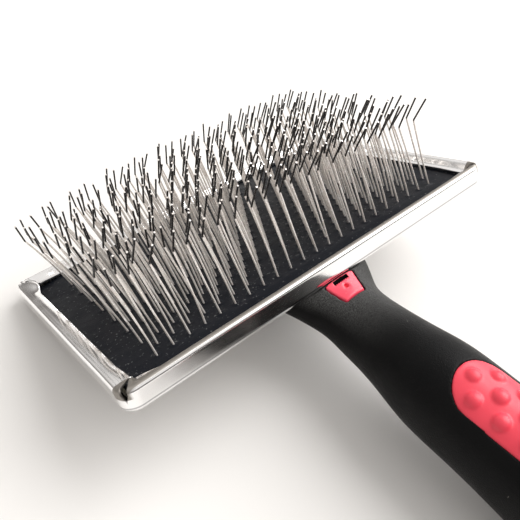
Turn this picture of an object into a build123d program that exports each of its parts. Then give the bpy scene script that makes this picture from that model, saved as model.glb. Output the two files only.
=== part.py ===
from build123d import *
import math
import os

# Slicker brush: a chrome tray holds a rubber pin pad, and a two-colour moulded handle
# carries the tray. Everything is drawn in the head's frame, in millimetres: the origin
# is the middle of the tray's opening on the pad's surface, X runs along the head,
# +Y away from the handle and +Z along the pins. The last step tips the whole brush
# to the way it lies on a table, on the tray's far edge and the handle's butt.

# Pin field: rows of pins on a grid of equilateral triangles
PIN_PITCH = 4.0
ROW_PITCH = PIN_PITCH * math.sqrt(3) / 2
PINS_PER_ROW = 22
ROW_COUNT = 16
FIELD_SHIFT_X = 1.2            # the field sits a little to one side of the opening

# One pin
WIRE_R = 0.225
KNEE_HEIGHT = 17.5
KNEE_LEAN_Y = 1.8
TIP_HEIGHT = 23.4
TIP_LEAN_Y = -2.7
ROOT_HEIGHT = 0.8              # straight stretch above the pad
CROWN_BEND_R = 0.25
ROOT_BEND_R = 3.0
KNEE_BEND_R = 0.8

# Layers under the pins, from the pad's surface down
RUBBER_T = 1.0
FABRIC_T = 0.4
PAD_TUCK = 1.0                 # how far the layers reach under the lip

# Tray
OPENING_X = 99.6
OPENING_Y = 62.1
SHEET_T = 0.5
TRAY_BACK_Z = -3.25            # outer face of the tray's back
RIM_REACH = 3.6                # outer wall, outwards from the opening
RIM_FOOT_R = 1.75              # bend between the back and the outer wall
RIM_CREST_R = 1.0              # bend over the rim's crest
RIM_CREST_CORNER_Z = 4.77      # where the wall and the falling face would meet
RIM_LIP_CORNER = (0.88, 0.89)  # where the falling face and the lip would meet
RIM_LIP_R = 0.9
RIM_LIP_EDGE_Z = 0.81          # outer face of the lip at its cut edge
FLAP_END_ANGLE = 35.5          # flap ends, off square: the corners stay open
FLAP_END_GAP = 0.15

# Screws from the tray into the handle's saddle
SCREW_PLACES = ((-7.5, -24.0), (7.5, -24.0), (0.0, -14.5))
SCREW_R = 1.5
SCREW_HEAD_R = 3.0
SCREW_HEAD_T = 0.8
SCREW_GRIP = 2.0               # length below the tray
DRIVE_WIDTH = 0.7

# Handle: sections across its axis, from under the tray to the butt
NECK_SECTIONS = (
    # y, z, slope of the axis, half width, half height
    (1.0, -3.6, 0.0, 6.0, 1.2),
    (-2.5, -3.7, 0.0, 10.5, 2.2),
    (-9.0, -3.9, 2.0, 14.0, 3.3),
    (-18.0, -4.5, 6.0, 14.8, 4.1),
    (-26.5, -4.7, 12.0, 13.5, 5.7),
    (-34.3, -8.9, 17.0, 9.9, 6.0),
    (-37.0, -11.1, 20.0, 8.5, 6.6),
    (-41.0, -13.2, 22.0, 8.3, 7.2),
)
GRIP_START = (-46.5, -15.2)    # y, z where the straight grip axis begins
GRIP_SLOPE = 22.0              # how far the grip drops below the head's plane
GRIP_SECTIONS = (
    # distance along the grip axis, half width, half height
    (0.0, 8.6, 8.0),
    (6.0, 9.3, 9.1),
    (13.0, 10.4, 10.2),
    (25.0, 10.7, 10.5),
    (40.0, 11.4, 11.0),
    (60.0, 12.4, 11.8),
    (80.0, 12.2, 11.5),
    (93.0, 11.0, 10.4),
    (100.0, 9.4, 8.9),
)
SLEEVE_T = 1.8                 # soft sleeve over the hard core
STEM_SECTIONS = (
    # the core inside the neck: y, z, slope of the axis, half width, half height
    (-24.0, -6.5, 10.0, 7.5, 2.3),
    (-32.0, -8.4, 16.0, 7.4, 3.6),
    (-37.0, -11.2, 20.0, 6.8, 4.8),
    (-41.0, -13.2, 22.0, 6.6, 5.5),
)
SADDLE_SIZE = (21.0, 17.0)     # the core's flat seat under the tray
SADDLE_CORNER_R = 4.0
SADDLE_Y = -20.0
SADDLE_T = 2.6
CORE_WALL = 3.2
CORE_BORE_START = 4.0          # the core is hollow from here to its open end
RIM_CLEARANCE = 0.12           # between the neck's collar and the tray's foot bend

# Window in the neck that shows the core
WINDOW_TOP_Y = -34.3
WINDOW_BOTTOM_Y = -39.5
WINDOW_TOP_HALF = 4.4
WINDOW_BOTTOM_HALF = 2.95
WINDOW_GAP = 0.2
SLOT_HALF = 2.4
SLOT_Y = -35.5
SLOT_WIDTH = 0.5
SLOT_DEPTH = 1.4
SLOT_TEETH = 8
DIMPLE_Y = -36.7
DIMPLE_R = 0.6

# Thumb pad on the grip
PAD_START = 16.6
PAD_END = 76.0
PAD_HALF = 6.6
BUMP_RADIUS = 1.7
BUMP_HEIGHT = 0.9
BUMP_PITCH = 6.0
BUMP_FIRST = 19.6
BUMP_SIDE_X = 3.9

# End plug with its hanging eye
PLUG_FLANGE_T = 3.0
PLUG_SPIGOT = 8.0
TAB_HALF_WIDTH = 7.0
TAB_T = 5.0
EYE_DISTANCE = 10.5            # eye centre beyond the sleeve's end
EYE_R = 3.0

# How the brush lies on a table
REST_TILT = 19.371

SLOPE = math.radians(GRIP_SLOPE)
FABRIC_BOTTOM = -(RUBBER_T + FABRIC_T)
CROWN_Z = FABRIC_BOTTOM - WIRE_R
FOAM_TOP = FABRIC_BOTTOM - 2 * WIRE_R
FLOOR_Z = TRAY_BACK_Z + SHEET_T
RIM_FOOT_U = RIM_REACH - RIM_FOOT_R


def grip_point(along, height=0.0):
    """A point of the plane x = 0, along the grip axis and above it."""
    y = GRIP_START[0] - along * math.cos(SLOPE) - height * math.sin(SLOPE)
    z = GRIP_START[1] - along * math.sin(SLOPE) + height * math.cos(SLOPE)
    return (0, y, z)


def section_plane(point, slope):
    """Plane across the handle, its local X along the head and its normal down the handle."""
    angle = math.radians(slope)
    return Plane(origin=point, x_dir=(1, 0, 0), z_dir=(0, -math.cos(angle), -math.sin(angle)))


def grip_plane(along):
    return section_plane(grip_point(along), GRIP_SLOPE)


def staple():
    """One wire with two pins, its crown centred on X = 0 under the fabric."""
    half = PIN_PITCH / 2
    side = [
        (0, 0, CROWN_Z),
        (0, 0, ROOT_HEIGHT),
        (0, KNEE_LEAN_Y, KNEE_HEIGHT),
        (0, TIP_LEAN_Y, TIP_HEIGHT),
    ]
    left = [(-half, y, z) for _, y, z in reversed(side)]
    right = [(half, y, z) for _, y, z in side]
    radii = [KNEE_BEND_R, ROOT_BEND_R, CROWN_BEND_R, CROWN_BEND_R, ROOT_BEND_R, KNEE_BEND_R]
    path = FilletPolyline(*(left + right), radius=radii)
    start = Plane(origin=path @ 0, z_dir=path % 0)
    return sweep(start * Circle(WIRE_R), path=path)


def pin_x(row, column):
    stagger = 0.5 * (row % 2)
    middle = (PINS_PER_ROW - 1) / 2 + 0.25
    return (column + stagger - middle) * PIN_PITCH + FIELD_SHIFT_X


def pin_y(row):
    return (row - (ROW_COUNT - 1) / 2) * ROW_PITCH


def pin_rows():
    """The staples of each row, as separate solids."""
    one = staple()
    rows = []
    for row in range(ROW_COUNT):
        wires = []
        for column in range(0, PINS_PER_ROW, 2):
            middle = pin_x(row, column) + PIN_PITCH / 2
            wires.append(Pos(middle, pin_y(row), 0) * one)
        rows.append(wires)
    return rows


def layer(top, bottom):
    """A sheet of the pad, reaching under the lip."""
    outline = Rectangle(OPENING_X + 2 * PAD_TUCK, OPENING_Y + 2 * PAD_TUCK)
    return Pos(0, 0, bottom) * extrude(outline, top - bottom)


def pierced_layer(top, bottom):
    """A sheet of the pad with a hole for every pin."""
    places = [(pin_x(row, column), pin_y(row)) for row in range(ROW_COUNT) for column in range(PINS_PER_ROW)]
    outline = Rectangle(OPENING_X + 2 * PAD_TUCK, OPENING_Y + 2 * PAD_TUCK)
    holes = [Pos(x, y) * Circle(WIRE_R) for x, y in places]
    face = outline - holes
    return Pos(0, 0, bottom) * extrude(face, top - bottom)


def foam_cushion():
    cushion = layer(FOAM_TOP, FLOOR_Z)
    for x, y in SCREW_PLACES:
        cushion -= Pos(x, y, (FOAM_TOP + FLOOR_Z) / 2) * Cylinder(SCREW_HEAD_R + 0.2, 4 * SHEET_T)
    return cushion


def rim_section():
    """Section of one flap: foot bend, wall, crest and lip. Local X points outwards, local Y up."""
    outer = FilletPolyline(
        (RIM_FOOT_U - SHEET_T, TRAY_BACK_Z),
        (RIM_REACH, TRAY_BACK_Z),
        (RIM_REACH, RIM_CREST_CORNER_Z),
        RIM_LIP_CORNER,
        (0, RIM_LIP_EDGE_Z),
        radius=[RIM_FOOT_R, RIM_CREST_R, RIM_LIP_R],
    )
    return make_face(offset(outer, SHEET_T, side=Side.LEFT))


def flap(length, reach):
    """The flap along one side of the tray, drawn on the -Y side, its ends cut at an angle."""
    outward = Plane(origin=(0, -reach, 0), x_dir=(0, -1, 0), z_dir=(-1, 0, 0))
    bar = extrude(outward * rim_section(), amount=length, both=True)
    depth = RIM_REACH + 1
    inner = length / 2 - FLAP_END_GAP
    outer = length / 2 + depth * math.tan(math.radians(FLAP_END_ANGLE))
    plan = make_face(Polyline(
        (-inner, -reach + 0.001), (inner, -reach + 0.001),
        (outer, -reach - depth), (-outer, -reach - depth), (-inner, -reach + 0.001),
    ))
    return bar & (Pos(0, 0, -10) * extrude(plan, 20))


def head_tray():
    near = flap(OPENING_X, OPENING_Y / 2)
    side = flap(OPENING_Y, OPENING_X / 2)
    plate_x = OPENING_X + 2 * RIM_FOOT_U
    plate_y = OPENING_Y + 2 * RIM_FOOT_U
    back = Pos(0, 0, TRAY_BACK_Z) * extrude(Rectangle(plate_x, plate_y), SHEET_T)
    tray = back + near + Rot(0, 0, 180) * near + Rot(0, 0, 90) * side + Rot(0, 0, -90) * side
    for x, y in SCREW_PLACES:
        tray -= Pos(x, y, TRAY_BACK_Z) * Cylinder(SCREW_R, 4 * SHEET_T)
    return tray


def tray_screws():
    screws = []
    for x, y in SCREW_PLACES:
        head = Pos(x, y, FLOOR_Z) * extrude(Circle(SCREW_HEAD_R), SCREW_HEAD_T)
        head = fillet(head.edges().group_by(Axis.Z)[-1], 0.35)
        shank = Pos(x, y, TRAY_BACK_Z - SCREW_GRIP) * extrude(Circle(SCREW_R), SCREW_GRIP + SHEET_T)
        cross = Rectangle(2.4, DRIVE_WIDTH) + Rectangle(DRIVE_WIDTH, 2.4)
        drive = Pos(x, y, FLOOR_Z + SCREW_HEAD_T - 0.5) * extrude(cross, 1)
        screws.append(head + shank - drive)
    return screws


def handle_body():
    """The handle's outer shape, cut flush with the tray's back and clear of its foot bend."""
    sections = []
    for y, z, slope, half_width, half_height in NECK_SECTIONS:
        sections.append(section_plane((0, y, z), slope) * Ellipse(half_width, half_height))
    for along, half_width, half_height in GRIP_SECTIONS:
        sections.append(grip_plane(along) * Ellipse(half_width, half_height))
    foot_y = -OPENING_Y / 2 - RIM_FOOT_U
    above = Pos(0, foot_y, TRAY_BACK_Z) * Box(
        80, 80, 20, align=(Align.CENTER, Align.MIN, Align.MIN))
    foot_z = TRAY_BACK_Z + RIM_FOOT_R
    foot = Pos(0, foot_y, foot_z) * Rot(0, 90, 0) * Cylinder(RIM_FOOT_R + RIM_CLEARANCE, 80)
    return loft(sections) - above - foot


def core_body():
    """The shape the sleeve closes around: a flat saddle and a stem down the grip."""
    sections = []
    for y, z, slope, half_width, half_height in STEM_SECTIONS:
        sections.append(section_plane((0, y, z), slope) * Ellipse(half_width, half_height))
    for along, half_width, half_height in GRIP_SECTIONS:
        ellipse = Ellipse(half_width - SLEEVE_T, half_height - SLEEVE_T)
        sections.append(grip_plane(along) * ellipse)
    plan = Pos(0, SADDLE_Y) * RectangleRounded(*SADDLE_SIZE, SADDLE_CORNER_R)
    saddle = Pos(0, 0, TRAY_BACK_Z - SADDLE_T) * extrude(plan, SADDLE_T)
    return loft(sections) + saddle


def window_prism(gap):
    """The window in the neck, as a prism through the neck's upper side."""
    outline = make_face(Polyline(
        (-WINDOW_TOP_HALF + gap, WINDOW_TOP_Y - gap),
        (WINDOW_TOP_HALF - gap, WINDOW_TOP_Y - gap),
        (WINDOW_BOTTOM_HALF - gap, WINDOW_BOTTOM_Y + gap),
        (-WINDOW_BOTTOM_HALF + gap, WINDOW_BOTTOM_Y + gap),
        (-WINDOW_TOP_HALF + gap, WINDOW_TOP_Y - gap),
    ))
    return Pos(0, 0, GRIP_START[1] + 4) * extrude(outline, 20)


def thumb_prism():
    """The thumb pad's outline, as a prism through the grip's upper side."""
    length = PAD_END - PAD_START
    middle = (PAD_START + PAD_END) / 2
    plane = Plane(
        origin=grip_point(middle),
        x_dir=(0, -math.cos(SLOPE), -math.sin(SLOPE)),
        z_dir=(0, -math.sin(SLOPE), math.cos(SLOPE)),
    )
    return extrude(plane * SlotOverall(length, 2 * PAD_HALF), 20)


def grip_halves(along):
    """Half width and half height of the grip at a distance along it."""
    for near, far in zip(GRIP_SECTIONS, GRIP_SECTIONS[1:]):
        if near[0] <= along <= far[0]:
            part = (along - near[0]) / (far[0] - near[0])
            half_width = near[1] + part * (far[1] - near[1])
            half_height = near[2] + part * (far[2] - near[2])
            return half_width, half_height
    raise ValueError("outside the grip")


def bump(along, x):
    """A ball whose top stands out of the thumb pad."""
    half_width, half_height = grip_halves(along)
    ball_r = (BUMP_RADIUS ** 2 + BUMP_HEIGHT ** 2) / (2 * BUMP_HEIGHT)
    height = half_height * math.sqrt(1 - (x / half_width) ** 2)
    lean = math.atan2(x / half_width ** 2, height / half_height ** 2)
    depth = ball_r - BUMP_HEIGHT
    _, y, z = grip_point(along, height - depth * math.cos(lean))
    return Pos(x - depth * math.sin(lean), y, z) * Sphere(ball_r)


def bump_places():
    places = []
    along = BUMP_FIRST
    while along < PAD_END - 4:
        places.append((along, 0.0))
        if along + BUMP_PITCH / 2 < PAD_END - 4:
            places.append((along + BUMP_PITCH / 2, -BUMP_SIDE_X))
            places.append((along + BUMP_PITCH / 2, BUMP_SIDE_X))
        along += BUMP_PITCH
    return places


def thumb_pad(outer, inner):
    pad = outer & thumb_prism()
    for along, x in bump_places():
        pad += bump(along, x)
    return pad - inner


def slot_cutter():
    """The slot in the window, with small teeth along its lower edge."""
    cutter = Pos(0, SLOT_Y, 0) * Box(2 * SLOT_HALF, SLOT_WIDTH, 2 * SLOT_DEPTH)
    step = 2 * SLOT_HALF / SLOT_TEETH
    for tooth in range(SLOT_TEETH):
        x = -SLOT_HALF + (tooth + 0.5) * step
        cutter += Pos(x, SLOT_Y - SLOT_WIDTH / 2, 0) * Box(step / 2, 0.3, 2 * SLOT_DEPTH)
    return cutter


def handle_core(outer, inner):
    """The hard core: saddle under the tray, window boss and a hollow grip."""
    core = inner + (outer & window_prism(WINDOW_GAP))
    bores = []
    for along, half_width, half_height in GRIP_SECTIONS:
        inset = SLEEVE_T + CORE_WALL
        if along >= CORE_BORE_START:
            bores.append(grip_plane(along) * Ellipse(half_width - inset, half_height - inset))
    core -= loft(bores)
    core -= Pos(0, 0, -3.4) * slot_cutter()
    core -= Pos(0, DIMPLE_Y, -4.0) * Sphere(DIMPLE_R)
    for x, y in SCREW_PLACES:
        core -= Pos(x, y, TRAY_BACK_Z - SCREW_GRIP) * extrude(Circle(SCREW_R), SCREW_GRIP)
    return core


def grip_sleeve(outer, inner):
    return outer - inner - window_prism(0) - thumb_prism()


def end_plug():
    """Plug in the core's open end, with a flat tab and its hanging eye."""
    end, half_width, half_height = GRIP_SECTIONS[-1]
    plane = grip_plane(end)
    inset = SLEEVE_T + CORE_WALL
    flange = extrude(plane * Ellipse(half_width, half_height), PLUG_FLANGE_T)
    flange = fillet(flange.edges().sort_by(Axis.Y)[0], 1.6)
    spigot = extrude(plane * Ellipse(half_width - inset, half_height - inset), -PLUG_SPIGOT)
    flat = Plane(
        origin=grip_point(end),
        x_dir=(0, -math.cos(SLOPE), -math.sin(SLOPE)),
        z_dir=(0, -math.sin(SLOPE), math.cos(SLOPE)),
    )
    outline = Pos(EYE_DISTANCE / 2, 0) * Rectangle(EYE_DISTANCE, 2 * TAB_HALF_WIDTH)
    outline += Pos(EYE_DISTANCE, 0) * Circle(TAB_HALF_WIDTH)
    outline -= Pos(EYE_DISTANCE, 0) * Circle(EYE_R)
    tab = extrude(flat * outline, TAB_T / 2, both=True)
    return flange + spigot + tab


def build_nodes():
    """Every node of the brush, in the head's frame."""
    outer = handle_body()
    inner = core_body()
    nodes = {
        "head_tray": head_tray(),
        "rubber_pad": pierced_layer(0, -RUBBER_T),
        "fabric_backing": pierced_layer(-RUBBER_T, FABRIC_BOTTOM),
        "foam_cushion": foam_cushion(),
        "tray_screws": tray_screws(),
        "handle_core": handle_core(outer, inner),
        "grip_sleeve": grip_sleeve(outer, inner),
        "thumb_pad": thumb_pad(outer, inner),
        "end_plug": end_plug(),
    }
    for number, wires in enumerate(pin_rows(), start=1):
        nodes[f"pin_row_{number:02d}"] = wires
    return nodes


def solids_of(shape):
    if isinstance(shape, list):
        return [solid for item in shape for solid in item.solids()]
    return list(shape.solids())


def lay_down(nodes):
    """Tip the brush to its rest on a table, and centre its box over the origin."""
    tipped = {name: [Rot(-REST_TILT, 0, 0) * solid for solid in solids_of(shape)]
              for name, shape in nodes.items()}
    box = Compound([solid for solids in tipped.values() for solid in solids]).bounding_box()
    shift = Pos(-(box.min.X + box.max.X) / 2, -(box.min.Y + box.max.Y) / 2, -box.min.Z)
    print("shift", shift.position, "size", box.size)
    return {name: [shift * solid for solid in solids] for name, solids in tipped.items()}


def main():
    os.makedirs("parts", exist_ok=True)
    for name, solids in lay_down(build_nodes()).items():
        shape = solids[0] if len(solids) == 1 else Compound(solids)
        export_step(shape, f"parts/{name}.step")


main()
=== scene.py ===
import math
import random

import bmesh
import bpy
import numpy as np
from mathutils import Matrix, Vector, noise


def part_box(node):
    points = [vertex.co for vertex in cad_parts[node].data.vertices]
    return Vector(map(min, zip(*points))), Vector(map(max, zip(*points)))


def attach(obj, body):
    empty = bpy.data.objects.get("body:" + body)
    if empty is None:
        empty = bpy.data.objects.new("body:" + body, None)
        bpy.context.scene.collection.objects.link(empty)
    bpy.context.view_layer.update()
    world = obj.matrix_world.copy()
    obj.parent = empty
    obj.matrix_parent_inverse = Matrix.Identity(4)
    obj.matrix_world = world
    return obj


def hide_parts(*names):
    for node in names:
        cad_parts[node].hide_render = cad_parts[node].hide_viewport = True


# Looks of the slicker brush. Shapes are drawn in the head's frame, in millimetres, and
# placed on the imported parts: the origin is the middle of the tray's opening on the pad's
# surface, X runs along the head, +Y away from the handle and +Z along the pins. Sizes and
# places below are in that frame unless they say otherwise, and "outwards" is from the
# tray's opening.

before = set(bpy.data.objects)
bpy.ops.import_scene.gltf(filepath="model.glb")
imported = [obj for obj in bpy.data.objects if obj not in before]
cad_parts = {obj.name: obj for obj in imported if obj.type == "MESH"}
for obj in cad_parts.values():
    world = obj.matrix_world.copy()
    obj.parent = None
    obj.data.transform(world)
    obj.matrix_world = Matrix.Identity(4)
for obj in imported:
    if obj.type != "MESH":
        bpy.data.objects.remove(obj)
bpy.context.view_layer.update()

MM = 0.001
REST_TILT = math.radians(19.371)    # how the brush lies: pins tipped towards the handle

# Pins
PIN_PITCH = 4.0
ROW_PITCH = PIN_PITCH * math.sqrt(3) / 2
PINS_PER_ROW = 22
ROW_COUNT = 16
FIELD_SHIFT_X = 1.2
WIRE_R = 0.225
KNEE = (0.0, 1.8, 17.5)            # from a pin's root, before its own lean
TIP = (0.0, -4.5, 5.9)             # from the knee
IN_PAD_Z = -0.9                    # a pin is upright from here down
CROWN_Z = -1.625                   # middle of the wire behind the pad's cloth
KNEE_BEND_R = 0.9
CROWN_BEND_R = 0.4
WIRE_SIDES = 10
WIRE_CHAMFER = 0.16                # of the wire's radius
CUT_TIP = 0.16                     # length at a pin's cut tip painted bright, a painted highlight
SHANK_STEPS = 6
CROWN_STEPS = 4
BEND_PAINTED_DARK = (0.0, 0.15, 0.6, 1.0, 1.0, 1.0)    # painted dark reflection: how dark the wire is painted over the knee's bend
TIP_PAINTED_DARK = (1.0, 0.15)             # and from there to the cut tip, lifted there as a painted highlight

# How a pin stands, in degrees
LEAN = 3.6                         # towards -X
LEAN_PUSHED = 17.0                 # more where the pins are pushed over
LEAN_RIGHT = 1.5                   # more at the field's right end
SWAY_PUSHED = -13.0                # towards the handle where the pins are pushed over
LEAN_SPREAD, LEAN_SPREAD_PUSHED = 1.5, 1.0
SWAY_SPREAD = 1.4
TWIST_SPREAD, TWIST_SPREAD_PUSHED = 5.5, 2.0
TILT_SPREAD = 2.6

# How uneven a pin is, in millimetres
KNEE_SPREAD = 0.18
END_SPREAD = 0.15
BOW, BOW_PUSHED = 0.08, 0.16       # a shank's bow towards +X
BOW_SPREAD = (0.10, 0.12)

# Pad and tray
PAD_CROWN = 0.62                   # the pad's middle stands this far above its edges
PAD_CROWN_HALF = 42.0
PAD_EDGE = (-0.3, 3.5)             # inwards from the opening's edge: the crown fades in here
PAD_EDGE_DIP = 0.12                # the edge is drawn down this much
PAD_STEP = 0.31                    # spacing of the pad's mesh
PUCKER_REACH = 2.4                 # how far round a pin the pad is puckered
PUCKER_R = 0.55
PUCKER_WIDTH = 0.33
PUCKER_HEIGHTS = (0.10, 0.20)
SLIT = (0.26, -0.10)               # the slit each wire leaves, from its pin's root
SLIT_SPREAD = 0.055
SLIT_DEPTHS = (0.25, 0.40)
SLAB_POINTS = (103, 65)            # mesh points along and across the cloth and the foam
RUBBER_T = 1.0
CLOTH_BOTTOM = -1.4
FOAM_TOP = -1.85
OPENING_X = 99.6
OPENING_Y = 62.1
PAD_TUCK = 0.9
SHEET_T = 0.5
TRAY_BACK_Z = -3.25
FOAM_BOTTOM = TRAY_BACK_Z + SHEET_T
RIM_REACH = 3.6                    # the rim's outer wall, outwards from the opening
RIM_FOOT_R = 1.75                  # bend between the back and the wall
RIM_CREST_R = 1.0                  # bend over the crest
RIM_CREST_Z = 1.6                  # height of the crest bend's centre
RIM_SLOPE = ((1.62, 1.95), (1.45, 1.70), (1.28, 1.46))     # from the crest down to the hollow
RIM_LIP_R = 0.9                    # hollow bend between the slope and the lip
RIM_LIP_CENTRE = (0.384, 1.749)    # of that bend: outwards, height
LIP_EDGE_Z = 0.81
LIP_RISE = 0.09                    # of the lip, for each millimetre outwards
LIP_STEPS = (0.40, 0.32, 0.25, 0.18, 0.12, 0.05)
CHIP_PITCH = 7.0                   # the worn lip is chipped in stretches of this length
CHIP_DEPTH, CHIP_ROUGH = 0.10, 0.03
LEFT_LIP_REACH = 0.62              # the left lip is cut this much wider
RIM_STEP = 0.6                     # spacing of the rim's mesh along a side
CORNER_STEPS = 12
CORNER_GAP = 0.14                  # half width of a corner's slot at the lip
CORNER_SWELL = 0.60                # added to it at the slot's widest
FLARES = (
    # corner (-1 left or near, 1 right or far); how far its lips bend in along X, Y and up
    (-1, 1, 1.6, 0.95, 0.5),
    (-1, -1, 0.85, 0.8, 0.4),
    (1, -1, 0.35, 0.4, 0.0),
    (1, 1, 0.5, 0.4, 0.2),
)

# Painted reflections on the chrome and painted sheen on the sleeve
LIP_PAINTED_REFLECTION = (0.31, 0.29, 0.265)     # painted reflection: the near lip is painted a darker beige grey
LIP_BAND_ROUGHNESS = 0.5
LIP_BAND_FROM = (-34.5, -34.2)     # along Y, it fades in here
LIP_BAND_TO = (-31.0, -30.8)       # and out here
LIP_BAND_ABOVE = (0.2, 0.5)
FOLD_PAINTED_REFLECTION = (0.42, 0.42, 0.43)     # painted reflection: a darker line painted where the wall folds to the back
FOLD_LINE_FROM = (-2.1, -1.85)     # heights it fades in and out over
FOLD_LINE_TO = (-1.75, -1.5)
COLLAR_PAINTED_SHEEN = (0.10, 0.10, 0.098)   # painted sheen: the sleeve's upward faces are painted grey near the collar
COLLAR_SHEEN_Y = (0.012, 0.031)      # part frame, metres: it fades in here

# Slot in the neck's window
SLOT_Y = -35.2
SLOT_WIDTH = 0.75
SLOT_HALF = 2.15
SLOT_TEETH = 8
SLOT_TOOTH_DEPTH = 0.16
SLOT_DEPTHS = (-5.4, -0.6)         # heights it is cut between

# Light and camera
TABLE_HALF = 4.0                   # metres
SKY_LEFT = (0.62, 0.60, 0.58)
SKY_RIGHT = (1.10, 1.07, 1.04)
SKY_HORIZON = (0.20, 0.185, 0.175)
SKY_STRENGTH = 0.84
HORIZON_LIFT = 0.3                 # the skirting looks higher towards the front
WINDOW_STRENGTH = 3.3
WINDOW_SPREAD = math.radians(58)
WINDOW_TOWARDS = Vector((0.75, -0.2, 0.63))
CAMERA_PLACE = Vector((-69.05, -124.51, 67.47))
CAMERA_LOOK = Vector((0.4473, 0.7608, -0.4701))
CAMERA_UP = Vector((0.4620, 0.2535, 0.8499))
CAMERA_LENS = 41.27
CAMERA_SENSOR = 36.0
CAMERA_SHIFT = (-0.0133, -0.0075)


# ---------------------------------------------------------------- frame and small tools

def head_matrix():
    """From the head's frame in millimetres to the part's frame in metres."""
    low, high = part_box("rubber_pad")
    turn = Matrix.Rotation(-REST_TILT, 4, "X")
    middle = Matrix.Translation((low + high) / 2)
    return middle @ turn @ Matrix.Scale(MM, 4) @ Matrix.Translation((0, 0, RUBBER_T / 2))


HEAD = head_matrix()


def to_part(points):
    """Head-frame millimetres to part-frame metres, for an array of points."""
    matrix = np.array(HEAD)
    return np.asarray(points, float) @ matrix[:3, :3].T + matrix[:3, 3]


def make_piece(name, points, faces, material):
    """A smooth-shaded object from head-frame points."""
    mesh = bpy.data.meshes.new(name)
    mesh.from_pydata(to_part(points).tolist(), [], faces)
    mesh.polygons.foreach_set("use_smooth", [True] * len(mesh.polygons))
    mesh.materials.append(material)
    piece = bpy.data.objects.new(name, mesh)
    bpy.context.scene.collection.objects.link(piece)
    return piece


def settle(piece, nodes):
    """Ride on the brush and stand for CAD nodes."""
    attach(piece, "root")
    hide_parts(*nodes)
    return piece


def apply_modifiers(piece):
    """Bake a piece's modifiers into its mesh."""
    bpy.context.view_layer.update()
    graph = bpy.context.evaluated_depsgraph_get()
    mesh = bpy.data.meshes.new_from_object(piece.evaluated_get(graph))
    piece.modifiers.clear()
    piece.data = mesh


def weld(mesh, distance, face_outwards=False):
    """Join a mesh's points that lie closer than a distance in millimetres."""
    build = bmesh.new()
    build.from_mesh(mesh)
    bmesh.ops.remove_doubles(build, verts=build.verts, dist=distance * MM)
    if face_outwards:
        bmesh.ops.recalc_face_normals(build, faces=build.faces)
    build.to_mesh(mesh)
    build.free()


def grid_faces(rows, columns, base=0):
    """Faces of a grid whose points are listed row by row."""
    faces = []
    for row in range(rows - 1):
        for column in range(columns - 1):
            corner = base + row * columns + column
            faces.append((corner, corner + 1, corner + columns + 1, corner + columns))
    return faces


def grid_border(rows, columns):
    """The outer points of such a grid, once round from its first point."""
    border = list(range(columns))
    border += [row * columns + columns - 1 for row in range(1, rows)]
    border += [(rows - 1) * columns + column for column in range(columns - 2, -1, -1)]
    return border + [row * columns for row in range(rows - 2, 0, -1)]


def smoothstep(low, high, value):
    """0 below the low value, 1 above the high one, and a smooth rise between them."""
    t = np.clip((value - low) / (high - low), 0.0, 1.0)
    return t * t * (3 - 2 * t)


def wave(x, y, scale, seed):
    """Smooth noise from -1 to 1 over the plane, one value per point."""
    place = ((a / scale, b / scale, seed) for a, b in zip(np.ravel(x), np.ravel(y)))
    return np.array([noise.noise(p) for p in place]).reshape(np.shape(x))


# ---------------------------------------------------------------- materials

def new_material(name, color, roughness, metallic=0.0):
    """A material with a Principled shader; its colour is the plain one that noise varies."""
    material = bpy.data.materials.new(name)
    material.use_nodes = True
    shader = material.node_tree.nodes["Principled BSDF"]
    shader.inputs["Base Color"].default_value = (*color, 1.0)
    shader.inputs["Roughness"].default_value = roughness
    shader.inputs["Metallic"].default_value = metallic
    return material, shader


def noise_node(tree, scale, detail=2.0, stretch=(1, 1, 1)):
    """Noise over the part's own coordinates, in cells per metre."""
    place = tree.nodes.new("ShaderNodeTexCoord")
    mapping = tree.nodes.new("ShaderNodeMapping")
    mapping.inputs["Scale"].default_value = stretch
    texture = tree.nodes.new("ShaderNodeTexNoise")
    texture.inputs["Scale"].default_value = scale
    texture.inputs["Detail"].default_value = detail
    tree.links.new(place.outputs["Object"], mapping.inputs["Vector"])
    tree.links.new(mapping.outputs["Vector"], texture.inputs["Vector"])
    return texture.outputs["Fac"]


def ramp_node(tree, source, stops):
    """Colour ramp: stops are (position, colour), the colour a grey value or a triple."""
    ramp = tree.nodes.new("ShaderNodeValToRGB")
    elements = ramp.color_ramp.elements
    while len(elements) < len(stops):
        elements.new(0.5)
    for element, (position, color) in zip(elements, stops):
        triple = color if isinstance(color, tuple) else (color, color, color)
        element.position = position
        element.color = (*triple, 1.0)
    tree.links.new(source, ramp.inputs["Fac"])
    return ramp.outputs["Color"]


def mottle(tree, scale, detail, low, high, stretch=(1, 1, 1)):
    """Noise turned into colours or grey values between two stops."""
    return ramp_node(tree, noise_node(tree, scale, detail, stretch), (low, high))


def math_node(tree, operation, *values):
    """A maths node over sockets and plain numbers."""
    node = tree.nodes.new("ShaderNodeMath")
    node.operation = operation
    for value, socket in zip(values, node.inputs):
        if isinstance(value, bpy.types.NodeSocket):
            tree.links.new(value, socket)
        else:
            socket.default_value = value
    return node.outputs[0]


def fade_in(tree, value, start, end):
    """0 where a value is below the start, 1 beyond the end, smooth between them."""
    node = tree.nodes.new("ShaderNodeMapRange")
    node.interpolation_type = "SMOOTHSTEP"
    node.inputs["From Min"].default_value = start
    node.inputs["From Max"].default_value = end
    tree.links.new(value, node.inputs["Value"])
    return node.outputs["Result"]


def fade_out(tree, value, start, end):
    """1 where a value is below the start, 0 beyond the end, smooth between them."""
    return math_node(tree, "SUBTRACT", 1.0, fade_in(tree, value, start, end))


def product(tree, *values):
    """Masks multiplied together."""
    result = values[0]
    for value in values[1:]:
        result = math_node(tree, "MULTIPLY", result, value)
    return result


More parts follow.
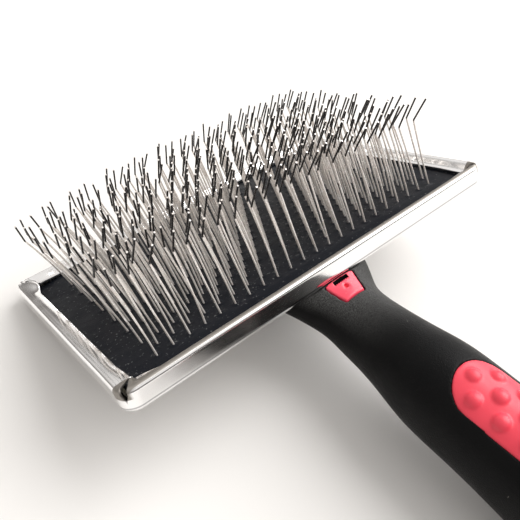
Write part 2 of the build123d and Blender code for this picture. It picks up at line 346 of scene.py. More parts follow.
def mix_node(tree, factor, first, second):
    """From the first colour to the second as the factor goes from 0 to 1."""
    mix = tree.nodes.new("ShaderNodeMix")
    mix.data_type = "RGBA"
    for source, socket in ((factor, mix.inputs[0]), (first, mix.inputs[6]), (second, mix.inputs[7])):
        if isinstance(source, bpy.types.NodeSocket):
            tree.links.new(source, socket)
        elif isinstance(source, tuple):
            socket.default_value = (*source, 1.0)
        else:
            socket.default_value = source
    return mix.outputs[2]


def head_coordinate(tree, axis):
    """How far a shaded point lies along one of the head frame's axes, in millimetres."""
    place = tree.nodes.new("ShaderNodeNewGeometry")
    dot = tree.nodes.new("ShaderNodeVectorMath")
    dot.operation = "DOT_PRODUCT"
    direction = HEAD.to_3x3().normalized().col[axis]
    tree.links.new(place.outputs["Position"], dot.inputs[0])
    dot.inputs[1].default_value = direction / MM
    return math_node(tree, "SUBTRACT", dot.outputs["Value"], (direction @ HEAD.translation) / MM)


def add_bump(tree, shader, height, distance, strength=1.0, below=None):
    """Bumps of a height in metres, on top of those below."""
    bump = tree.nodes.new("ShaderNodeBump")
    bump.inputs["Strength"].default_value = strength
    bump.inputs["Distance"].default_value = distance
    tree.links.new(height, bump.inputs["Height"])
    if below is not None:
        tree.links.new(below, bump.inputs["Normal"])
    tree.links.new(bump.outputs["Normal"], shader.inputs["Normal"])
    return bump.outputs["Normal"]


def chrome():
    """Bright plated sheet with faint waves, smudges and fine scratches; the near lip rougher and painted
    darker as a painted reflection, and a painted dark reflection along the fold.
    """
    material, shader = new_material("tray_chrome", (0.93, 0.93, 0.935), 0.06, 1.0)
    tree = material.node_tree
    along, height = head_coordinate(tree, 1), head_coordinate(tree, 2)
    # Painted reflection: the near lip is painted darker, and made rougher.
    lip = product(tree, fade_in(tree, along, *LIP_BAND_FROM), fade_out(tree, along, *LIP_BAND_TO),
                  fade_in(tree, height, *LIP_BAND_ABOVE))
    # Painted reflection: a darker line painted along the fold.
    fold = product(tree, fade_in(tree, height, *FOLD_LINE_FROM), fade_out(tree, height, *FOLD_LINE_TO))
    smudge = mottle(tree, 170, 4, (0.35, 0.085), (0.75, 0.19))
    tree.links.new(mix_node(tree, lip, smudge, (LIP_BAND_ROUGHNESS,) * 3), shader.inputs["Roughness"])
    tint = mottle(tree, 90, 3, (0.3, (0.95, 0.95, 0.955)), (0.8, (0.88, 0.87, 0.86)))
    tint = mix_node(tree, lip, tint, LIP_PAINTED_REFLECTION)
    tree.links.new(mix_node(tree, fold, tint, FOLD_PAINTED_REFLECTION), shader.inputs["Base Color"])
    waves = add_bump(tree, shader, noise_node(tree, 110, 1), 0.00003)
    scratches = noise_node(tree, 900, 3, (1, 8, 8))
    add_bump(tree, shader, scratches, 0.000004, 0.6, waves)
    return material


def pin_steel():
    """Drawn wire: bright shanks; the bent ends painted dark as a painted reflection, their cut tips painted
    bright as a painted highlight.
    """
    material, shader = new_material("pin_steel", (0.78, 0.74, 0.70), 0.2, 0.5)
    tree = material.node_tree
    # Painted reflection: the bent ends are painted dark, their cut tips lifted as a painted highlight.
    painted_dark = tree.nodes.new("ShaderNodeAttribute")
    painted_dark.attribute_name = "painted_dark_reflection"
    shank = mottle(tree, 700, 3, (0.3, (1.0, 0.975, 0.945)), (0.75, (0.86, 0.78, 0.72)))
    end = mottle(tree, 1500, 2, (0.3, (0.03, 0.03, 0.033)), (0.8, (0.09, 0.085, 0.08)))
    tree.links.new(mix_node(tree, painted_dark.outputs["Fac"], shank, end), shader.inputs["Base Color"])
    tree.links.new(mottle(tree, 2500, 2, (0.3, 0.16), (0.8, 0.32)), shader.inputs["Roughness"])
    add_bump(tree, shader, noise_node(tree, 6000, 2), 0.000008, 0.5)
    return material


def pad_rubber():
    """Black rubber with dust, lint specks and short scuffs."""
    material, shader = new_material("pad_rubber", (0.02, 0.021, 0.024), 0.45)
    shader.inputs["Specular IOR Level"].default_value = 0.1
    tree = material.node_tree
    base = mottle(tree, 60, 4, (0.3, (0.004, 0.005, 0.009)), (0.8, (0.010, 0.012, 0.016)))
    dust = mottle(tree, 1500, 3, (0.64, 0.0), (0.72, 0.65))
    dusty = mix_node(tree, dust, base, (0.20, 0.20, 0.20))
    scuff = mottle(tree, 420, 5, (0.66, 0.0), (0.72, 0.22), (1, 1.7, 1))
    tree.links.new(mix_node(tree, scuff, dusty, (0.16, 0.165, 0.17)), shader.inputs["Base Color"])
    tree.links.new(mottle(tree, 240, 4, (0.3, 0.34), (0.8, 0.58)), shader.inputs["Roughness"])
    grain = add_bump(tree, shader, noise_node(tree, 2600, 3), 0.00005, 0.7)
    add_bump(tree, shader, noise_node(tree, 350, 3), 0.0001, 0.5, grain)
    return material


def painted_sheen_mask(tree):
    """Painted sheen: a speckled mask over the sleeve's upward faces, stronger towards the collar."""
    place = tree.nodes.new("ShaderNodeTexCoord")
    axes = tree.nodes.new("ShaderNodeSeparateXYZ")
    tree.links.new(place.outputs["Object"], axes.inputs["Vector"])
    surface = tree.nodes.new("ShaderNodeNewGeometry")
    facing = tree.nodes.new("ShaderNodeSeparateXYZ")
    tree.links.new(surface.outputs["Normal"], facing.inputs["Vector"])
    near_collar = fade_in(tree, axes.outputs["Y"], *COLLAR_SHEEN_Y)
    upward = fade_in(tree, facing.outputs["Z"], 0.45, 0.98)
    speckle = mottle(tree, 5200, 2, (0.34, 0.15), (0.66, 1.0))
    return product(tree, near_collar, upward, speckle)


def soft_touch_black():
    """Moulded black rubber skin with a fine spark-eroded grain, a little dust and a painted grey sheen near
    the collar.
    """
    material, shader = new_material("sleeve_black", (0.012, 0.012, 0.013), 0.5)
    shader.inputs["Specular IOR Level"].default_value = 0.1
    shader.inputs["Sheen Weight"].default_value = 0.012
    shader.inputs["Sheen Roughness"].default_value = 0.4
    tree = material.node_tree
    base = mottle(tree, 80, 4, (0.3, (0.0025, 0.0025, 0.003)), (0.8, (0.006, 0.006, 0.006)))
    # painted sheen on the upward faces near the collar
    with_painted_sheen = mix_node(tree, painted_sheen_mask(tree), base, COLLAR_PAINTED_SHEEN)
    lint = mottle(tree, 900, 2, (0.76, 0.0), (0.80, 0.5))
    tree.links.new(mix_node(tree, lint, with_painted_sheen, (0.22, 0.21, 0.19)), shader.inputs["Base Color"])
    tree.links.new(mottle(tree, 200, 4, (0.3, 0.36), (0.8, 0.50)), shader.inputs["Roughness"])
    add_bump(tree, shader, noise_node(tree, 4200, 2), 0.00009, 1.0)
    return material


def red_plastic(name, color, deep, roughness, grain):
    """Moulded red plastic or rubber with slight mottling and wear."""
    material, shader = new_material(name, color, roughness)
    shader.inputs["Subsurface Weight"].default_value = 0.06
    shader.inputs["Subsurface Scale"].default_value = 0.0008
    tree = material.node_tree
    tree.links.new(mottle(tree, 160, 4, (0.3, color), (0.8, deep)), shader.inputs["Base Color"])
    rough = mottle(tree, 420, 3, (0.3, roughness - 0.05), (0.8, roughness + 0.09))
    tree.links.new(rough, shader.inputs["Roughness"])
    add_bump(tree, shader, noise_node(tree, 3200, 2), grain, 0.6)
    return material


def woven_cloth():
    """Plain-woven backing cloth, glued under the rubber, painted darker between the threads as painted
    shade.
    """
    material, shader = new_material("pad_fabric", (0.72, 0.69, 0.62), 0.9)
    tree = material.node_tree
    place = tree.nodes.new("ShaderNodeTexCoord")
    threads = []
    for direction in ("X", "Y"):
        thread = tree.nodes.new("ShaderNodeTexWave")
        thread.bands_direction = direction
        thread.inputs["Scale"].default_value = 600
        tree.links.new(place.outputs["Object"], thread.inputs["Vector"])
        threads.append(thread.outputs["Fac"])
    weave = mix_node(tree, 0.5, threads[0], threads[1])
    # painted shade: darker where the weave sinks between the threads
    threads_color = ramp_node(tree, weave, ((0.2, (0.50, 0.47, 0.41)), (0.8, (0.78, 0.75, 0.68))))
    tree.links.new(threads_color, shader.inputs["Base Color"])
    add_bump(tree, shader, weave, 0.0001, 0.8)
    return material


def cell_foam():
    """Open-cell foam, painted darker in its cells' pits as painted shade."""
    material, shader = new_material("foam", (0.70, 0.66, 0.55), 0.95)
    tree = material.node_tree
    place = tree.nodes.new("ShaderNodeTexCoord")
    cells = tree.nodes.new("ShaderNodeTexVoronoi")
    cells.inputs["Scale"].default_value = 1600
    tree.links.new(place.outputs["Object"], cells.inputs["Vector"])
    depth = cells.outputs["Distance"]
    # painted shade: darker where the cells sink
    tint = ramp_node(tree, depth, ((0.1, (0.38, 0.35, 0.27)), (0.6, (0.74, 0.70, 0.58))))
    tree.links.new(tint, shader.inputs["Base Color"])
    add_bump(tree, shader, depth, 0.0003, 0.9)
    return material


def zinc():
    """Zinc-plated screw steel."""
    material, shader = new_material("screw_steel", (0.66, 0.66, 0.67), 0.3, 1.0)
    tree = material.node_tree
    tint = mottle(tree, 900, 4, (0.3, (0.72, 0.72, 0.73)), (0.8, (0.52, 0.53, 0.55)))
    tree.links.new(tint, shader.inputs["Base Color"])
    tree.links.new(mottle(tree, 1400, 3, (0.3, 0.22), (0.8, 0.42)), shader.inputs["Roughness"])
    return material


# ---------------------------------------------------------------- pins

def pad_height(x, y):
    """The pad's surface: crowned along the head, and drawn down under the lip."""
    crown = PAD_CROWN * (1 - (x / PAD_CROWN_HALF) ** 2)
    edge = np.minimum(OPENING_X / 2 - np.abs(x), OPENING_Y / 2 - np.abs(y))
    crowned = smoothstep(*PAD_EDGE, edge)
    return crown * crowned - PAD_EDGE_DIP * (1 - crowned)


def pin_root(row, column):
    """Where a pin leaves the pad: every other row is shifted by half a pitch."""
    stagger = 0.5 * (row % 2)
    middle_x = (PINS_PER_ROW - 1) / 2 + 0.25
    x = (column + stagger - middle_x) * PIN_PITCH + FIELD_SHIFT_X
    y = (row - (ROW_COUNT - 1) / 2) * ROW_PITCH
    return x, y


def pushed_over(x, y):
    """How far a pin is pushed over towards -X: 0 to 1, most at the field's back left."""
    to_left = float(np.clip((6 - x) / 50, 0, 1))
    to_back = float(np.clip((y + 30) / 56, 0, 1))
    return to_left ** 1.7 * (0.12 + 0.88 * to_back)


def bent_pin(x, y, draw):
    """One pin: the points of its shank from the pad up, its knee and its tip."""
    root = np.array([x, y, 0.05 + pad_height(x, y)])
    pushed = pushed_over(x, y)
    lean = LEAN + LEAN_PUSHED * pushed + LEAN_RIGHT * float(smoothstep(25, 45, x))
    lean = math.radians(lean + draw.gauss(0, LEAN_SPREAD + LEAN_SPREAD_PUSHED * pushed))
    sway = math.radians(SWAY_PUSHED * pushed ** 2 + draw.gauss(0, SWAY_SPREAD))
    knee = root + np.array([
        -KNEE[2] * math.tan(lean),
        KNEE[1] + KNEE[2] * math.tan(sway),
        KNEE[2] + draw.gauss(0, KNEE_SPREAD) - KNEE[2] * (1 - math.cos(lean)),
    ])
    twist = math.radians(draw.gauss(0, TWIST_SPREAD + TWIST_SPREAD_PUSHED * pushed))
    tilt = math.radians(draw.gauss(0, TILT_SPREAD))
    reach, rise = -TIP[1], TIP[2]
    length = math.hypot(reach, rise) + draw.gauss(0, END_SPREAD)
    pitch = math.atan2(rise, reach) + tilt
    end_lean = 0.35 * math.sin(lean)
    direction = np.array([
        math.cos(pitch) * math.sin(twist) - end_lean,
        -math.cos(pitch) * math.cos(twist),
        math.sin(pitch),
    ])
    tip = knee + direction / np.linalg.norm(direction) * length
    bow = BOW + BOW_PUSHED * pushed
    side = np.array([bow + draw.gauss(0, BOW_SPREAD[0]), draw.gauss(0, BOW_SPREAD[1]), 0.0])
    shank = [
        root + (knee - root) * t + side * 4 * t * (1 - t)
        for t in (step / SHANK_STEPS for step in range(SHANK_STEPS))
    ]
    return shank, knee, tip


def round_corner(before, corner, after, radius, steps):
    """Points of an arc-like bend in place of a corner."""
    back, ahead = before - corner, after - corner
    back_length, ahead_length = np.linalg.norm(back), np.linalg.norm(ahead)
    back, ahead = back / back_length, ahead / ahead_length
    angle = math.acos(np.clip(-back @ ahead, -1, 1))
    cut = min(radius * math.tan(angle / 2), 0.45 * back_length, 0.45 * ahead_length)
    start, end = corner + back * cut, corner + ahead * cut
    return [
        start * (1 - t) ** 2 + corner * 2 * t * (1 - t) + end * t ** 2
        for t in np.linspace(0, 1, steps)
    ]


def staple_path(row, column, draw):
    """The wire of two neighbouring pins: tip, knee, pad, crown behind the pad, and back up.

    Returns its points and how much each is painted dark, the painted reflection on the bent end.
    """
    sides = []
    for offset in (0, 1):
        x, y = pin_root(row, column + offset)
        shank, knee, tip = bent_pin(x, y, draw)
        foot = np.array([x, y, CROWN_Z])
        knee_bend = round_corner(shank[-1], knee, tip, KNEE_BEND_R, len(BEND_PAINTED_DARK))
        cut = tip + (knee - tip) / np.linalg.norm(knee - tip) * CUT_TIP
        up = [np.array([x, y, IN_PAD_Z]), *shank, *knee_bend, cut, tip]
        painted_dark = [0.0] * (1 + SHANK_STEPS) + [*BEND_PAINTED_DARK, *TIP_PAINTED_DARK]
        sides.append((foot, up, painted_dark))
    (left_foot, left, left_dark), (right_foot, right, right_dark) = sides
    turn_left = round_corner(left[0], left_foot, right_foot, CROWN_BEND_R, CROWN_STEPS)
    turn_right = round_corner(left_foot, right_foot, right[0], CROWN_BEND_R, CROWN_STEPS)
    points = left[::-1] + turn_left + turn_right + right
    painted_dark = left_dark[::-1] + [0.0] * (2 * CROWN_STEPS) + right_dark
    return np.array(points), np.array(painted_dark)


def tube(points, radius, sides):
    """Rings round a path and closed, slightly chamfered ends."""
    ahead = np.gradient(points, axis=0)
    ahead /= np.linalg.norm(ahead, axis=1)[:, None]
    off_axis = (0.31, 0.2, 0.93)
    across = np.cross(ahead[0], off_axis)
    across /= np.linalg.norm(across)
    angles = np.arange(sides) * 2 * math.pi / sides
    rings = []
    for point, direction in zip(points, ahead):
        across = across - direction * (across @ direction)
        across /= np.linalg.norm(across)
        third = np.cross(direction, across)
        rings.append(point + radius * (np.outer(np.cos(angles), across) + np.outer(np.sin(angles), third)))
    shrunk, beyond = 1 - WIRE_CHAMFER, radius * WIRE_CHAMFER
    first = points[0] + (rings[0] - points[0]) * shrunk - ahead[0] * beyond
    last = points[-1] + (rings[-1] - points[-1]) * shrunk + ahead[-1] * beyond
    rings = [first, *rings, last]
    faces = []
    for ring in range(len(rings) - 1):
        base = ring * sides
        for side in range(sides):
            after = (side + 1) % sides
            faces.append((base + side, base + after, base + sides + after, base + sides + side))
    count = len(rings) * sides
    faces.append(tuple(range(sides))[::-1])
    faces.append(tuple(range(count - sides, count)))
    return np.vstack(rings), faces


def pin_row(row, material):
    """A row of staples, each point marked with how much its bent end is painted dark as a painted
    reflection.
    """
    draw = random.Random(100 + row)
    points, faces, dark_values = [], [], []
    for column in range(0, PINS_PER_ROW, 2):
        path, painted_dark = staple_path(row, column, draw)
        wire, wire_faces = tube(path, WIRE_R, WIRE_SIDES)
        base = sum(len(p) for p in points)
        points.append(wire)
        faces += [tuple(base + index for index in face) for face in wire_faces]
        painted_dark = np.concatenate([[0.0], painted_dark, [0.0]])
        dark_values.append(np.repeat(painted_dark, WIRE_SIDES))
    piece = make_piece(f"pins_{row + 1:02d}", np.vstack(points), faces, material)
    for polygon in piece.data.polygons:
        polygon.use_smooth = len(polygon.vertices) == 4
    # painted dark reflection on the bent ends, one value per point
    layer = piece.data.attributes.new("painted_dark_reflection", "FLOAT", "POINT")
    layer.data.foreach_set("value", np.concatenate(dark_values))
    return settle(piece, [f"pin_row_{row + 1:02d}"])


# ---------------------------------------------------------------- pad, cloth and foam

def rubber_pad(material):
    """Crowned rubber sheet, puckered round every pin."""
    half_x, half_y = OPENING_X / 2 + PAD_TUCK, OPENING_Y / 2 + PAD_TUCK
    xs = np.linspace(-half_x, half_x, int(2 * half_x / PAD_STEP) + 1)
    ys = np.linspace(-half_y, half_y, int(2 * half_y / PAD_STEP) + 1)
    x, y = np.meshgrid(xs, ys)
    z = pad_height(x, y)
    z += 0.07 * wave(x, y, 9.0, 3.0) + 0.03 * wave(x, y, 2.6, 8.0)
    draw = random.Random(5)
    for row in range(ROW_COUNT):
        for column in range(PINS_PER_ROW):
            pin_x, pin_y = pin_root(row, column)
            near = np.ix_(np.abs(ys - pin_y) < PUCKER_REACH, np.abs(xs - pin_x) < PUCKER_REACH)
            across, along = x[near] - pin_x, y[near] - pin_y
            ring = (np.hypot(across, along) - PUCKER_R) / PUCKER_WIDTH
            gap = (across - SLIT[0]) ** 2 + (along - SLIT[1]) ** 2
            swell = draw.uniform(*PUCKER_HEIGHTS) * np.exp(-ring ** 2)
            slit = draw.uniform(*SLIT_DEPTHS) * np.exp(-gap / SLIT_SPREAD)
            z[near] += swell - slit
    points = np.column_stack([x.ravel(), y.ravel(), z.ravel()])
    faces = grid_faces(len(ys), len(xs))
    rim = grid_border(len(ys), len(xs))
    below = points[rim].copy()
    below[:, 2] = -RUBBER_T
    base = len(points)
    for k in range(len(rim)):
        after = (k + 1) % len(rim)
        faces.append((rim[k], base + k, base + after, rim[after]))
    faces.append(tuple(range(base + len(rim) - 1, base - 1, -1)))
    piece = make_piece("pad_sheet", np.vstack([points, below]), faces, material)
    return settle(piece, ["rubber_pad"])


def soft_slab(name, top, bottom, bulge, material, node):
    """A soft sheet between two heights: rounded edges drawn in, and a gentle swell on top."""
    half_x, half_y = OPENING_X / 2 + PAD_TUCK, OPENING_Y / 2 + PAD_TUCK
    xs = np.linspace(-half_x, half_x, SLAB_POINTS[0])
    ys = np.linspace(-half_y, half_y, SLAB_POINTS[1])
    x, y = np.meshgrid(xs, ys)
    edge = np.minimum(half_x - np.abs(x), half_y - np.abs(y))
    round_over = 0.3 * (top - bottom) * (1 - smoothstep(0, 1.6, edge))
    swell = bulge * wave(x, y, 6.0, 11.0) * smoothstep(0, 3.0, edge)
    upper = np.column_stack([x.ravel(), y.ravel(), (top - round_over - bulge + swell).ravel()])
    lower = np.column_stack([x.ravel(), y.ravel(), (bottom + round_over).ravel()])
    below = x.size
    faces = []
    for face in grid_faces(len(ys), len(xs)):
        faces.append(face)
        faces.append(tuple(below + index for index in reversed(face)))
    rim = grid_border(len(ys), len(xs))
    for first, second in zip(rim, rim[1:] + rim[:1]):
        faces.append((first, below + first, below + second, second))
    piece = make_piece(name, np.vstack([upper, lower]), faces, material)
    return settle(piece, [node])


# ---------------------------------------------------------------- chrome tray

def corner_gap(outward, height):
    """Half width of the open slot between two flaps: a lens from the lip down the wall."""
    crest_u = RIM_REACH - RIM_CREST_R
    along = outward + max(0.0, 1.9 - height) * float(outward > crest_u)
    gap = CORNER_GAP + CORNER_SWELL * float(smoothstep(0.8, 2.8, along))
    gap -= (CORNER_GAP + CORNER_SWELL) * float(smoothstep(4.1, 6.0, along))
    return max(0.0, gap)


def bend(centre_u, centre_z, radius, start, end, count):
    """Points (outwards, height) of a bend, its angles in degrees from straight outwards."""
    return [
        (centre_u + radius * math.cos(angle), centre_z + radius * math.sin(angle))
        for angle in np.radians(np.linspace(start, end, count))
    ]


def rim_profile():
    """The rim's outer face from the fold at the tray's back to the lip's edge.

    Returns (outwards, height, half gap of the corner slot) for each point.
    """
    foot_u, foot_z = RIM_REACH - RIM_FOOT_R, TRAY_BACK_Z + RIM_FOOT_R
    crest_u = RIM_REACH - RIM_CREST_R
    hollow_u, hollow_z = RIM_LIP_CENTRE
    line = bend(foot_u, foot_z, RIM_FOOT_R, -90, 0, 11)
    line += [(RIM_REACH, height) for height in np.linspace(foot_z, RIM_CREST_Z, 7)[1:-1]]
    line += bend(crest_u, RIM_CREST_Z, RIM_CREST_R, 0, 145, 17)
    line += RIM_SLOPE
    line += bend(hollow_u, hollow_z, RIM_LIP_R, 325, 275, 7)
    line += [(outward, LIP_EDGE_Z + LIP_RISE * outward) for outward in LIP_STEPS]
    return [(outward, height, corner_gap(outward, height)) for outward, height in line]


def flare(points):
    """Bend the lips in and up where the flaps meet, and widen the left lip."""
    x, y, z = (points[:, :, axis].copy() for axis in range(3))
    outward = np.maximum(np.abs(x) - OPENING_X / 2, np.abs(y) - OPENING_Y / 2)
    lip = 1 - smoothstep(0.2, 2.5, outward)
    left = smoothstep(-0.6, 0.4, -x - OPENING_X / 2)
    points[:, :, 0] += LEFT_LIP_REACH * left * lip
    moved = outward - LEFT_LIP_REACH * left * lip
    bead = 0.85 + 1.76 * np.sqrt(np.maximum(0.0, 1 - ((2.3 - moved) / 2.98) ** 2))
    inner = left * (1 - smoothstep(1.9, 2.5, moved)) * (z < 3) * (z > 0.5)
    points[:, :, 2] += inner * (bead - z)
    for side_x, side_y, in_x, in_y, rise in FLARES:
        distance = np.hypot(x - side_x * OPENING_X / 2, y - side_y * OPENING_Y / 2)
        near = (1 - smoothstep(0.5, 8.5, distance)) * lip
        widened = LEFT_LIP_REACH * left if side_x < 0 else 0.0
        points[:, :, 0] -= side_x * (in_x - widened) * near
        points[:, :, 1] -= side_y * in_y * near
        points[:, :, 2] += rise * near
    return points


def nick(x, seed):
    """How deep the lip's worn edge is chipped at a place along it."""
    stretch = math.floor(x / CHIP_PITCH) + 0.5
    depth = 0.5 + noise.noise((stretch * 1.7, seed, 0.0))
    return CHIP_DEPTH * depth + CHIP_ROUGH * noise.noise((x / 2.5, seed, 4.0))


def rim_flap(side_length, reach, turn, seed, nicked):
    """One side of the tray as a grid of points: straight, with a half corner at each end."""
    half = side_length / 2
    straight = np.linspace(-half, half, int(side_length / RIM_STEP) + 1)
    rows = []
    for outward, height, gap in rim_profile():
        slack = math.asin(min(1.0, gap / outward)) if outward > gap else math.pi / 4
        end = max(0.0, math.pi / 4 - slack)
        curl = 0.13 * min(1.0, gap / 0.4)
        corner = []
        for share in np.arange(1, CORNER_STEPS + 1) / CORNER_STEPS:
            lift = curl * share ** 3
            across, ahead = math.sin(end * share), math.cos(end * share)
            corner.append((half + (outward + lift) * across, (outward + lift) * ahead, height + 0.6 * lift))
        lip_edge = max(0.0, 1 - outward / 0.3) * nicked
        row = [(-x, -reach - ahead, z) for x, ahead, z in reversed(corner)]
        row += [(x, -reach - outward + lip_edge * nick(x, seed), height) for x in straight]
        row += [(x, -reach - ahead, z) for x, ahead, z in corner]
        rows.append(row)
    points = np.array(rows)
    wobble = wave(points[:, :, 0], points[:, :, 2], 14.0, seed) * 0.035
    points[:, :, 1] += wobble * smoothstep(-3.2, -2.0, points[:, :, 2])
    points[:, :, 2] += wave(points[:, :, 0], points[:, :, 1], 11.0, seed + 3) * 0.03 \
        * smoothstep(-1.5, 0.2, points[:, :, 2])
    cosine, sine = math.cos(turn), math.sin(turn)
    x, y = points[:, :, 0].copy(), points[:, :, 1].copy()
    points[:, :, 0] = x * cosine - y * sine
    points[:, :, 1] = x * sine + y * cosine
    return flare(points)


def tray(material):
    """One sheet: a flat back, four rolled flaps and slots at the corners."""
    flaps = (
        rim_flap(OPENING_X, OPENING_Y / 2, 0.0, 1.0, True),
        rim_flap(OPENING_Y, OPENING_X / 2, math.pi / 2, 2.0, False),
        rim_flap(OPENING_X, OPENING_Y / 2, math.pi, 3.0, True),
        rim_flap(OPENING_Y, OPENING_X / 2, -math.pi / 2, 4.0, False),
    )
    points, faces, back = [], [], []
    for grid in flaps:
        base = sum(len(p) for p in points)
        row_count, column_count = grid.shape[:2]
        points.append(grid.reshape(-1, 3))
        faces += grid_faces(row_count, column_count, base)
        back += list(range(base, base + column_count - 1))
    faces.append(tuple(back[::-1]))
    piece = make_piece("tray_sheet", np.vstack(points), faces, material)
    weld(piece.data, 0.004, face_outwards=True)
    thick = piece.modifiers.new("sheet", "SOLIDIFY")
    thick.thickness = SHEET_T * MM
    thick.offset = -1
    thick.use_quality_normals = True
    soften = piece.modifiers.new("edge", "BEVEL")
    soften.width = 0.09 * MM
    soften.segments = 2
    soften.limit_method = "ANGLE"
    soften.angle_limit = math.radians(50)
    apply_modifiers(piece)
    return settle(piece, ["head_tray"])


# ---------------------------------------------------------------- handle

def moulded(name, node, material, voxel, passes):
    """A CAD node's shape as a moulding: its edges rounded and its blends softened."""
    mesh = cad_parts[node].data.copy()
    mesh.name = name
    piece = bpy.data.objects.new(name, mesh)
    bpy.context.scene.collection.objects.link(piece)
    weld(mesh, 0.002)
    remesh = piece.modifiers.new("skin", "REMESH")
    remesh.mode = "VOXEL"
    remesh.voxel_size = voxel * MM
    relax = piece.modifiers.new("relax", "SMOOTH")
    relax.factor = 0.5
    relax.iterations = passes
    apply_modifiers(piece)
    piece.data.materials.clear()
    piece.data.materials.append(material)
    piece.data.polygons.foreach_set("use_smooth", [True] * len(piece.data.polygons))
    return settle(piece, [node])


def window_slot():
    """A cutter for the narrow slot across the window, toothed on its lower side."""
    outline = [(-SLOT_HALF, SLOT_WIDTH / 2), (-SLOT_HALF, -SLOT_WIDTH / 2)]
    tooth = 2 * SLOT_HALF / SLOT_TEETH
    for index in range(SLOT_TEETH):
        left = -SLOT_HALF + index * tooth
        for across, deep in ((0.25, 0), (0.25, 1), (0.75, 1), (0.75, 0)):
            outline.append((left + across * tooth, -SLOT_WIDTH / 2 - deep * SLOT_TOOTH_DEPTH))
    outline += [(SLOT_HALF, -SLOT_WIDTH / 2), (SLOT_HALF, SLOT_WIDTH / 2)]
    count = len(outline)
    points = [(x, SLOT_Y + y, z) for z in SLOT_DEPTHS for x, y in outline]
    faces = [tuple(range(count))[::-1], tuple(range(count, 2 * count))]
    for index in range(count):
        after = (index + 1) % count
        faces.append((index, after, count + after, count + index))
    mesh = bpy.data.meshes.new("slot_cutter")
    mesh.from_pydata(to_part(points).tolist(), [], faces)
    cutter = bpy.data.objects.new("slot_cutter", mesh)
    bpy.context.scene.collection.objects.link(cutter)
    return cutter


def cut_slot(core, lining):
    """Cut the slot and line its walls with the sleeve's black rubber."""
    cutter = window_slot()
    cut = core.modifiers.new("slot", "BOOLEAN")
    cut.operation = "DIFFERENCE"
    cut.solver = "EXACT"
    cut.object = cutter
    apply_modifiers(core)
    bpy.data.objects.remove(cutter, do_unlink=True)
    core.data.materials.append(lining)
    to_head = HEAD.inverted()
    up = HEAD.to_3x3().normalized().col[2]
    slack = 0.02
    for face in core.data.polygons:
        x, y, z = to_head @ face.center
        in_outline = (abs(x) < SLOT_HALF + slack
                      and abs(y - SLOT_Y) < SLOT_WIDTH / 2 + SLOT_TOOTH_DEPTH + slack)
        in_depth = SLOT_DEPTHS[0] - slack < z < SLOT_DEPTHS[1]
        upright = abs(face.normal @ up) < 0.5
        if in_outline and in_depth and upright:
            face.material_index = 1
            face.use_smooth = False


def handle():
    """Sleeve, thumb rest, core and end plug."""
    black = soft_touch_black()
    coral = red_plastic("thumb_red", (0.90, 0.06, 0.10), (0.80, 0.045, 0.08), 0.40, 0.00003)
    gloss = red_plastic("core_red", (0.95, 0.085, 0.14), (0.84, 0.055, 0.10), 0.24, 0.00001)
    satin = red_plastic("plug_red", (0.80, 0.07, 0.09), (0.66, 0.045, 0.065), 0.4, 0.00002)
    moulded("sleeve_skin", "grip_sleeve", black, 0.3, 4)
    moulded("thumb_rest", "thumb_pad", coral, 0.22, 5)
    cut_slot(moulded("core_shell", "handle_core", gloss, 0.3, 2), black)
    moulded("butt_plug_eye", "end_plug", satin, 0.3, 4)


def screw_metal():
    """The hidden screws keep their CAD shape and take their own material."""
    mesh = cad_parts["tray_screws"].data
    mesh.materials.clear()
    mesh.materials.append(zinc())


# ---------------------------------------------------------------- stage, light, camera

def stage():
    """Plain pale table."""
    material, shader = new_material("table", (0.87, 0.855, 0.835), 0.6)
    shader.inputs["Specular IOR Level"].default_value = 0.2
    corners = [(x * TABLE_HALF, y * TABLE_HALF, 0) for x, y in ((-1, -1), (1, -1), (1, 1), (-1, 1))]
    mesh = bpy.data.meshes.new("table")
    mesh.from_pydata(corners, [], [(0, 1, 2, 3)])
    mesh.materials.append(material)
    floor = bpy.data.objects.new("table", mesh)
    bpy.context.scene.collection.objects.link(floor)


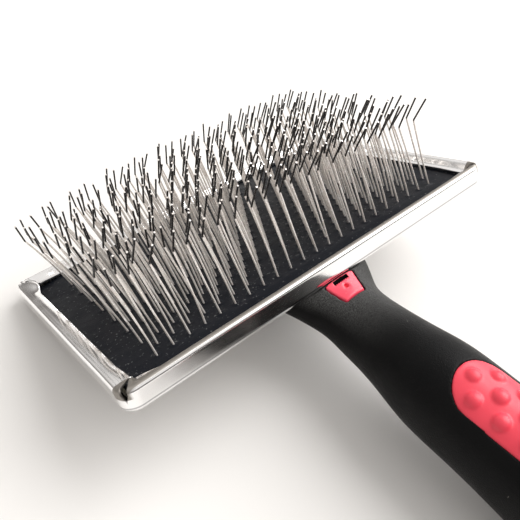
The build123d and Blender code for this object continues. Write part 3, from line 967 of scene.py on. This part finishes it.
def sky():
    """A pale room, dimmer to the left and along the skirting."""
    world = bpy.data.worlds.new("studio")
    bpy.context.scene.world = world
    world.use_nodes = True
    tree = world.node_tree
    place = tree.nodes.new("ShaderNodeTexCoord")
    axes = tree.nodes.new("ShaderNodeSeparateXYZ")
    tree.links.new(place.outputs["Generated"], axes.inputs["Vector"])
    walls = mix_node(tree, fade_in(tree, axes.outputs["X"], -0.9, 0.5), SKY_LEFT, SKY_RIGHT)
    front = math_node(tree, "MINIMUM", axes.outputs["Y"], 0.0)
    lowered = math_node(tree, "MULTIPLY_ADD", front, HORIZON_LIFT, axes.outputs["Z"])
    above = fade_in(tree, lowered, 0.02, 0.32)
    background = tree.nodes["Background"]
    tree.links.new(mix_node(tree, above, SKY_HORIZON, walls), background.inputs["Color"])
    background.inputs["Strength"].default_value = SKY_STRENGTH


def window():
    """A broad window to the right."""
    lamp = bpy.data.lights.new("window", "SUN")
    lamp.energy = WINDOW_STRENGTH
    lamp.angle = WINDOW_SPREAD
    lamp.color = (1.0, 0.99, 0.98)
    sun = bpy.data.objects.new("window", lamp)
    bpy.context.scene.collection.objects.link(sun)
    sun.rotation_euler = WINDOW_TOWARDS.to_track_quat("Z", "Y").to_euler()


def camera():
    """The view along the brush from the handle's left, set in the head's frame."""
    data = bpy.data.cameras.new("camera")
    data.lens = CAMERA_LENS
    data.sensor_width = CAMERA_SENSOR
    data.shift_x, data.shift_y = CAMERA_SHIFT
    data.clip_start = 0.005
    data.clip_end = 50.0
    eye = bpy.data.objects.new("camera", data)
    bpy.context.scene.collection.objects.link(eye)
    turn = HEAD.to_3x3().normalized()
    look = (turn @ CAMERA_LOOK).normalized()
    right = look.cross(turn @ CAMERA_UP).normalized()
    up = right.cross(look)
    pose = Matrix((right, up, -look)).transposed().to_4x4()
    pose.translation = HEAD @ CAMERA_PLACE
    eye.matrix_world = pose
    bpy.context.scene.camera = eye


steel = pin_steel()
for row_number in range(ROW_COUNT):
    pin_row(row_number, steel)
rubber_pad(pad_rubber())
soft_slab("backing_cloth", -RUBBER_T, CLOTH_BOTTOM, 0.0, woven_cloth(), "fabric_backing")
foam = soft_slab("foam_layer", FOAM_TOP, FOAM_BOTTOM, 0.05, cell_foam(), "foam_cushion")
tray(chrome())
handle()
screw_metal()
stage()
sky()
window()
camera()
bpy.context.scene.view_settings.view_transform = "Standard"
